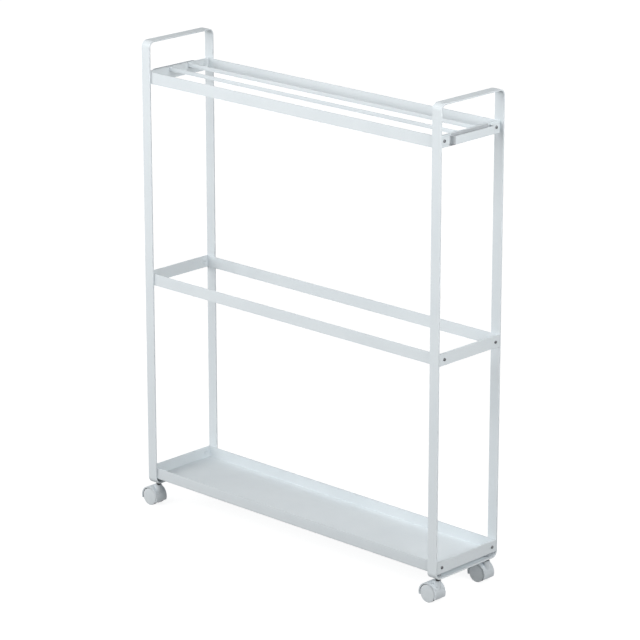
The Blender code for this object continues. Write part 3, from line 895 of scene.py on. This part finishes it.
def caster_housing(name):
    """A housing with its stem's axis at the origin."""
    middle = HOOD_RADIUS - HOOD_WALL / 2
    outline = arc_points(HOOD_RADIUS, HOOD_START, HOOD_END, 56, -HOOD_HALF)
    piece = extruded_outline(name, outline, 2 * HOOD_HALF)
    foot = arc_points(middle, math.radians(15), math.radians(60), 8, -GUSSET_HALF)
    rise = arc_points(middle, math.radians(70), math.radians(98), 6, -GUSSET_HALF)
    top = [Vector((x * MM, -GUSSET_HALF, GUSSET_TOP)) for x in (-4.4, 3.3)]
    cut(piece, extruded_outline("gusset", foot + rise + top, 2 * GUSSET_HALF), "UNION")
    neck = rod("neck", (0, 0, (NECK_TOP + NECK_LOW) / 2), NECK_RADIUS, NECK_TOP - NECK_LOW)
    cut(piece, neck, "UNION")
    well = HOOD_HALF - WEB_HALF + MM
    for way in SIDES.values():
        place = (-TRAIL, way * (WEB_HALF + well / 2), AXLE_HEIGHT)
        cut(piece, rod("well", place, HOOD_RADIUS - HOOD_WALL, well, "Y", 72))
    cut(piece, rod("stem_bore", (0, 0, 35 * MM), STEM_BORE, 12 * MM))
    cut(piece, rod("axle_bore", (-TRAIL, 0, AXLE_HEIGHT), AXLE_BORE, 10 * MM, "Y", 36))
    round_edges(piece, MOULD_EDGE, 2, angle=40)
    return piece


housing_master = caster_housing("housing_master")
for end, side in CORNERS:
    corner = f"{end}_{side}"
    stem_place = middle_of(f"{corner}_caster_stem")
    stem_place.z = 0
    hood = copy_of(housing_master, f"{corner}_hood", stem_place)
    set_in_place(hood, hood_nylon, "caster_plastic", f"{corner}_swivel", f"{corner}_caster_housing")
bpy.data.meshes.remove(housing_master.data)
print("housings:", len(CORNERS))

# %% [markdown]
# Each wheel is a moulded cup with a closed outer face. The face is gently domed, and rounds over
# into the tread. The tread's own faces get the dark grey finish, partly scuff and partly painted
# shade, which is picked by how far they are from the axle.

# %% Wheels
WHEEL_WIDTH = 9.8 * MM
TREAD_FROM = 14.93 * MM


def wheel(name):
    """A wheel along +Y, with its inner face at the origin and its closed face at +Y."""
    w = WHEEL_WIDTH / MM  # the section below is in millimetres: (radius, distance along)
    face = [(r, w - 0.15 - 0.55 * (r / 14) ** 2) for r in range(0, 15, 2)]
    rim = [(14.5, w - 0.78), (14.85, w - 0.95), (15, w - 1.3)]
    tread = [(15, 2.0), (14.8, 1.1), (14.3, 0.4), (13.7, 0.1), (12.2, 0.1), (11.8, 0.5)]
    cup = [(11.7, 6.2), (11.3, 6.6), (4.9, 6.6), (4.5, 6.2)]
    hub = [(4.5, 0.3), (4.2, 0), (2.5, 0), (2.3, 0.2), (2.3, 8.3), (0, 8.4)]
    section = face + rim + tread + cup + hub
    section = [(r * MM, h * MM) for r, h in section]
    piece = spun(name, section, (0, 0, 0), (0, 1, 0), 64)
    smooth(piece, 38)
    return piece


def is_tread(face, centre):
    return math.hypot(face.center.x - centre.x, face.center.z - centre.z) > TREAD_FROM


wheel_master = wheel("wheel_master")
for end, side in CORNERS:
    corner = f"{end}_{side}"
    for part, way in SIDES.items():
        node = f"{corner}_caster_{part}_wheel"
        low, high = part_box(node)
        place = (low + high) / 2
        place.y = low.y if way > 0 else high.y
        turn = Matrix.Rotation(math.pi, 4, "Z") if way < 0 else None
        disc = copy_of(wheel_master, f"{corner}_{part}_moulded_wheel", place, turn)
        set_in_place(disc, wheel_nylon, "wheel_plastic", f"{corner}_{part}_wheel_body", node)
        # Tread faces get the dark grey that is partly scuff and partly painted shade.
        paint(disc, tread_nylon, lambda face: is_tread(face, place))
bpy.data.meshes.remove(wheel_master.data)
print("wheels:", 2 * len(CORNERS))

# %% [markdown]
# The axle is a plain pin whose ends are broken. Half of its section is drawn, and the other half
# is the same points with the length turned round.

# %% Axles
PIN_CHAMFER = 0.4 * MM
for end, side in CORNERS:
    corner = f"{end}_{side}"
    node = f"{corner}_caster_axle"
    low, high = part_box(node)
    r, half = (high.x - low.x) / 2, (high.y - low.y) / 2
    section = [(0, half), (r - PIN_CHAMFER, half), (r, half - PIN_CHAMFER)]
    section += [(radius, -along) for radius, along in reversed(section)]
    pin = spun(f"{corner}_axle_pin", section, (low + high) / 2, (0, 1, 0), 36)
    smooth(pin)
    set_in_place(pin, zinc, "zinc_plate", f"{corner}_swivel", node)
print("pieces so far:", len(pieces_made))

# %% [markdown]
# ## Studio
#
# The cart stands on a plain white table. The table shines a little by itself, as a lit acrylic
# sheet does, and more so further off, which keeps the background clean and the shadow soft.
# Diffuse and glossy rays skip it, so that the table itself doesn't light the underside of the
# cart.

# %% Floor
TABLE_SIZE = 40
TABLE_GREY = 0.3
GLOW_NEAR, GLOW_FAR = 0.84, 0.97
GLOW_FROM, GLOW_TO = 0.6, 3.0  # metres from the middle of the table

clear_selection()
bpy.ops.mesh.primitive_plane_add(size=TABLE_SIZE, location=(0, 0, 0))
floor = named("white_table")
floor_finish, nodes, links, shader, place = new_material("white_table_finish")
shader.inputs["Base Color"].default_value = (TABLE_GREY, TABLE_GREY, TABLE_GREY, 1)
shader.inputs["Roughness"].default_value = 0.8
shader.inputs["Specular IOR Level"].default_value = 0.0
shader.inputs["Emission Color"].default_value = (1, 1, 1, 1)
away = nodes.new("ShaderNodeVectorMath")
away.operation = "LENGTH"
links.new(place, away.inputs[0])
glow = remap(nodes, links, away.outputs["Value"], GLOW_NEAR, GLOW_FAR, GLOW_FROM, GLOW_TO)
links.new(glow, shader.inputs["Emission Strength"])
floor.data.materials.append(floor_finish)
floor.visible_diffuse = False
floor.visible_glossy = False
print("floor:", floor.name)

# %% [markdown]
# Large softboxes stand in front, at the front left corner and on the right, above the cart, so
# each upright is brightest near its top. A faint one hangs overhead. A single sun would be
# simpler, but it would draw hard lines of shadow from every rail.

# %% Softboxes
def softbox(name, place, aim, size, watts):
    """A rectangular lamp that looks from its place towards its aim. size is (width, height)."""
    clear_selection()
    bpy.ops.object.light_add(type="AREA", location=place)
    light = bpy.context.object
    light.name = name
    light.data.shape = "RECTANGLE"
    light.data.size, light.data.size_y = size
    light.data.energy = watts
    light.rotation_euler = (Vector(aim) - Vector(place)).to_track_quat("-Z", "Y").to_euler()
    print(name, watts, "W")


softbox("front_softbox", (-0.3, -2.2, 1.7), (0, 0, 0.6), (2.0, 1.4), watts=33)
softbox("front_left_softbox", (-2.2, -1.6, 1.4), (0, 0, 0.5), (1.6, 1.4), watts=24.6)
softbox("right_softbox", (2.4, -0.4, 1.6), (0, 0, 0.5), (1.4, 1.4), watts=47)
softbox("top_softbox", (0, 0, 2.4), (0, 0, 0.4), (2.4, 1.4), watts=1.5)

# %% [markdown]
# White walls send in a little light from the left, the right, the front and low at the back. Real
# panels would show in the gloss as hard shapes. Here the room's light is a sum instead, one term
# for each wall: the dot product of the view direction and the wall's direction, and never below
# zero.

# %% White walls
# The direction of each wall, and its length is how bright the wall is. The back one is low.
WALLS = ((-0.77, 0, 0), (0.08, 0, 0), (0, -0.2, 0), (0, 0.44, -0.33))

world = bpy.data.worlds.new("studio_room")
bpy.context.scene.world = world
world.use_nodes = True
nodes, links = world.node_tree.nodes, world.node_tree.links
background = nodes["Background"]
background.inputs["Color"].default_value = (1, 1, 1, 1)
direction = nodes.new("ShaderNodeTexCoord").outputs["Generated"]
total = None
for wall in WALLS:
    facing = nodes.new("ShaderNodeVectorMath")
    facing.operation = "DOT_PRODUCT"
    facing.inputs[1].default_value = wall
    links.new(direction, facing.inputs[0])
    glow = nodes.new("ShaderNodeMath")
    glow.operation = "MAXIMUM"
    glow.inputs[1].default_value = 0
    links.new(facing.outputs["Value"], glow.inputs[0])
    if total:
        both = nodes.new("ShaderNodeMath")
        both.operation = "ADD"
        links.new(total, both.inputs[0])
        links.new(glow.outputs[0], both.inputs[1])
        glow = both
    total = glow.outputs[0]
links.new(total, background.inputs["Strength"])
bpy.context.scene.view_settings.view_transform = "Standard"

# %% [markdown]
# The number of pieces made is printed.

# %% Pieces made
print("pieces:", len(pieces_made))
